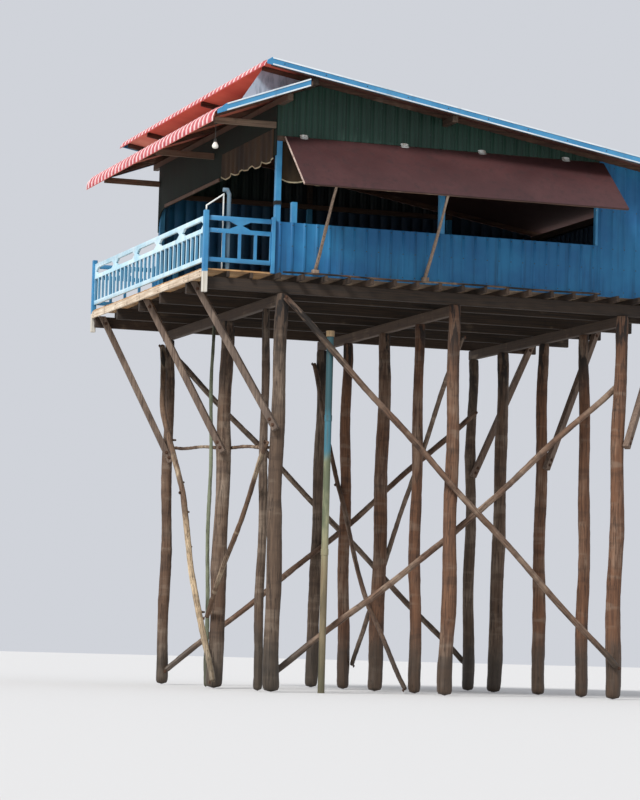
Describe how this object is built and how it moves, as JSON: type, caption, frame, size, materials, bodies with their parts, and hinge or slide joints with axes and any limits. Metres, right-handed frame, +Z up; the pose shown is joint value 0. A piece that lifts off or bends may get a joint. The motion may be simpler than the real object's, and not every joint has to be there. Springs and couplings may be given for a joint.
{
  "type": "stilt house",
  "caption": "Timber house on tall log stilts with an open veranda, ribbed sheet walls, a propped flap over its side opening and a two-level ribbed roof.",
  "frame": {"origin": "centre of the house's plan box, on the level of the logs' feet", "axes": "+X from the veranda to the rear, +Y along the front from the near side to the far side, +Z up"},
  "size_m": [9.7121, 10.0608, 10.748],
  "materials": {
    "log": "bark-free round logs, weathered",
    "sawn_timber": "rough sawn, weathered",
    "blue_sheet": "ribbed sheet, satin",
    "green_sheet": "ribbed sheet, satin",
    "red_roof_sheet": "ribbed sheet, faded",
    "maroon_board": "flat sheet, matt",
    "blue_paint": "old gloss paint",
    "cloth": "faded woven cloth",
    "hinge_metal": "galvanised, dull",
    "lamp_glass": "frosted",
    "pipe_plastic": "weathered"
  },
  "bodies": {
    "root": {"bargeboards": "blue_paint", "far_gable": "green_sheet", "far_rear_side_wall": "blue_sheet", "far_side_braces": "log", "far_side_wall": "blue_sheet", "flap_hinges": "hinge_metal", "flap_props": "sawn_timber", "floor_beams": "sawn_timber", "floor_girders": "sawn_timber", "floor_joists": "sawn_timber", "front_fascia": "sawn_timber", "front_line_braces": "log", "front_rafters": "sawn_timber", "front_railing": "blue_paint", "front_roof": "red_roof_sheet", "front_stilts": "log", "front_struts": "sawn_timber", "front_wall_panel": "green_sheet", "gable_studs": "sawn_timber", "ledge_pole": "sawn_timber", "middle_line_braces": "log", "middle_stilts": "log", "near_flap": "maroon_board", "near_gable": "green_sheet", "near_parapet": "blue_sheet", "near_rear_side_wall": "blue_sheet", "near_side_braces": "log", "rail_posts": "blue_paint", "rear_rafters": "sawn_timber", "rear_roof": "red_roof_sheet", "rear_stilts": "log", "rear_struts": "sawn_timber", "rear_wall": "blue_sheet", "roof_beams": "sawn_timber", "roof_gap_sheet": "hinge_metal", "room_floor": "sawn_timber", "side_head_beams": "blue_paint", "side_railings": "blue_paint", "valances": "cloth", "veranda_floor": "sawn_timber", "veranda_lamp": "lamp_glass", "veranda_pipes": "hinge_metal", "veranda_ties": "sawn_timber", "wall_posts": "blue_paint", "waste_pipe": "pipe_plastic"}
  },
  "joints": []
}
